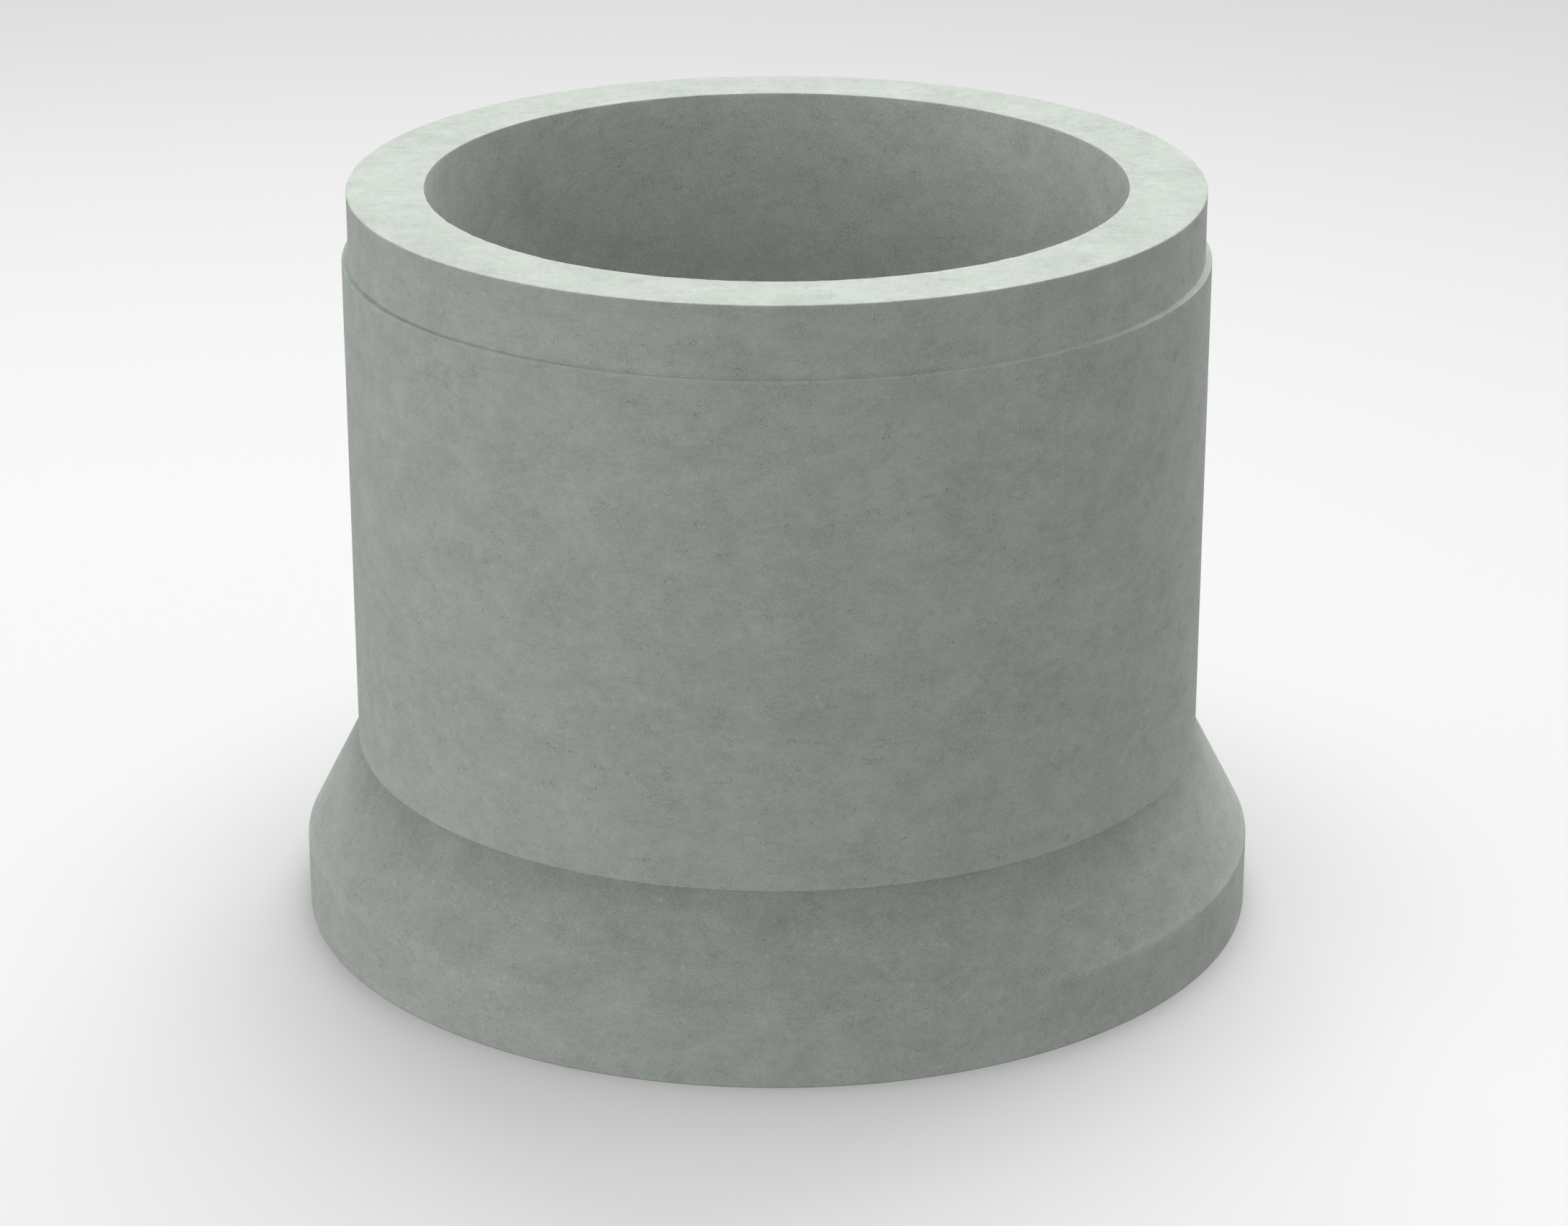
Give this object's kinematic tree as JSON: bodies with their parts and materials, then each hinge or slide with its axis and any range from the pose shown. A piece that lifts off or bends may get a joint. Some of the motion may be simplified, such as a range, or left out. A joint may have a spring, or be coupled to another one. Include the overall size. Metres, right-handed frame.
{
  "type": "concrete pipe",
  "caption": "Bell-and-spigot concrete drain pipe standing on its bell, with a through bore, a stepped spigot at the top and a socket inside the flared foot.",
  "frame": {"origin": "on the pipe's axis, in the plane of the bell's end face that it stands on", "axes": "+Z along the pipe's axis, from the bell up to the spigot; X and Y are free, because the pipe is round"},
  "size_m": [1.4, 1.4, 1.083],
  "materials": {
    "concrete": "smooth cast concrete, matt green-grey with a faint cloudy mottle"
  },
  "bodies": {
    "root": {"concrete_pipe": "concrete"}
  },
  "joints": []
}
